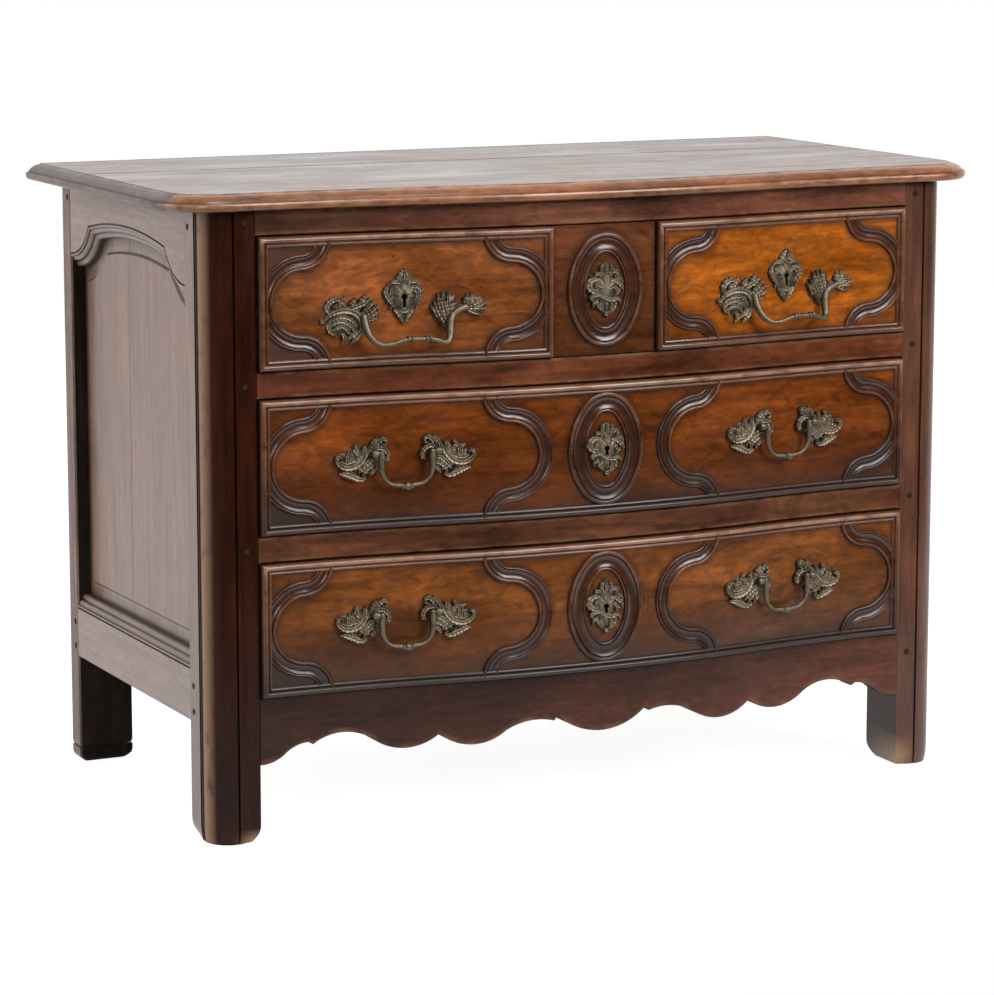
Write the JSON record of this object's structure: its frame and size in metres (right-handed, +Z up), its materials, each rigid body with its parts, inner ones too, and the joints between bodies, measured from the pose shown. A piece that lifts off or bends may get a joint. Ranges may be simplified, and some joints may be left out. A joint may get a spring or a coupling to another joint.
{
  "type": "commode",
  "caption": "Free-standing walnut commode with a crossbow front, moulded drawers that slide out, a small flush drawer between two others, scalloped apron and drop handles.",
  "frame": {"origin": "middle of the footprint on the floor", "axes": "+X to the right seen from the front, front towards -Y, +Z up"},
  "size_m": [1.258, 0.637, 0.89],
  "materials": {
    "walnut": "waxed dark walnut",
    "drawer_walnut": "waxed amber walnut",
    "inner_wood": "bare aged wood",
    "bronze": "dark patinated bronze",
    "iron": "aged iron"
  },
  "bodies": {
    "carcass": {"back_boards": "inner_wood", "back_bottom_rail": "inner_wood", "back_top_rail": "inner_wood", "bottom_boards": "inner_wood", "divider_left": "inner_wood", "divider_right": "inner_wood", "drawer_runners": "inner_wood", "front_apron": "walnut", "front_lower_rail": "walnut", "front_top_rail": "walnut", "front_upper_rail": "walnut", "joint_pegs": "walnut", "post_front_left": "walnut", "post_front_right": "walnut", "post_rear_left": "walnut", "post_rear_right": "walnut", "side_bottom_rail_left": "walnut", "side_bottom_rail_right": "walnut", "side_panel_left": "walnut", "side_panel_right": "walnut", "side_top_rail_left": "walnut", "side_top_rail_right": "walnut", "top_front_board": "walnut", "top_rear_board": "walnut"},
    "top_left_drawer": {"top_left_back": "inner_wood", "top_left_bottom": "inner_wood", "top_left_escutcheon": "bronze", "top_left_front": "drawer_walnut", "top_left_lock": "iron", "top_left_pull": "bronze", "top_left_sides": "inner_wood"},
    "top_centre_drawer": {"top_centre_bottom": "inner_wood", "top_centre_box": "inner_wood", "top_centre_escutcheon": "bronze", "top_centre_front": "drawer_walnut"},
    "top_right_drawer": {"top_right_back": "inner_wood", "top_right_bottom": "inner_wood", "top_right_escutcheon": "bronze", "top_right_front": "drawer_walnut", "top_right_lock": "iron", "top_right_pull": "bronze", "top_right_sides": "inner_wood"},
    "middle_drawer": {"middle_back": "inner_wood", "middle_bottom": "inner_wood", "middle_escutcheon": "bronze", "middle_front": "drawer_walnut", "middle_handle_mounts": "bronze", "middle_lock": "iron", "middle_sides": "inner_wood"},
    "bottom_drawer": {"bottom_back": "inner_wood", "bottom_bottom": "inner_wood", "bottom_escutcheon": "bronze", "bottom_front": "drawer_walnut", "bottom_handle_mounts": "bronze", "bottom_lock": "iron", "bottom_sides": "inner_wood"},
    "middle_left_bail_swing": {"middle_left_bail": "bronze"},
    "middle_right_bail_swing": {"middle_right_bail": "bronze"},
    "bottom_left_bail_swing": {"bottom_left_bail": "bronze"},
    "bottom_right_bail_swing": {"bottom_right_bail": "bronze"}
  },
  "joints": [
    {"name": "top_left_slide", "type": "slide", "parent": "carcass", "child": "top_left_drawer", "axis": [0, -1, 0], "range_m": [0, 0.4]},
    {"name": "top_centre_slide", "type": "slide", "parent": "carcass", "child": "top_centre_drawer", "axis": [0, -1, 0], "range_m": [0, 0.4]},
    {"name": "top_right_slide", "type": "slide", "parent": "carcass", "child": "top_right_drawer", "axis": [0, -1, 0], "range_m": [0, 0.4]},
    {"name": "middle_slide", "type": "slide", "parent": "carcass", "child": "middle_drawer", "axis": [0, -1, 0], "range_m": [0, 0.4]},
    {"name": "bottom_slide", "type": "slide", "parent": "carcass", "child": "bottom_drawer", "axis": [0, -1, 0], "range_m": [0, 0.4]},
    {"name": "middle_left_bail_hinge", "type": "hinge", "parent": "middle_drawer", "child": "middle_left_bail_swing", "pos_m": [-0.2985, -0.29217, 0.531], "axis": [-0.9933, 0.1152, 0], "range_deg": [0, 85]},
    {"name": "middle_right_bail_hinge", "type": "hinge", "parent": "middle_drawer", "child": "middle_right_bail_swing", "pos_m": [0.2985, -0.29217, 0.531], "axis": [-0.9933, -0.1152, 0], "range_deg": [0, 85]},
    {"name": "bottom_left_bail_hinge", "type": "hinge", "parent": "bottom_drawer", "child": "bottom_left_bail_swing", "pos_m": [-0.2985, -0.29217, 0.307], "axis": [-0.9933, 0.1152, 0], "range_deg": [0, 85]},
    {"name": "bottom_right_bail_hinge", "type": "hinge", "parent": "bottom_drawer", "child": "bottom_right_bail_swing", "pos_m": [0.2985, -0.29217, 0.307], "axis": [-0.9933, -0.1152, 0], "range_deg": [0, 85]}
  ]
}
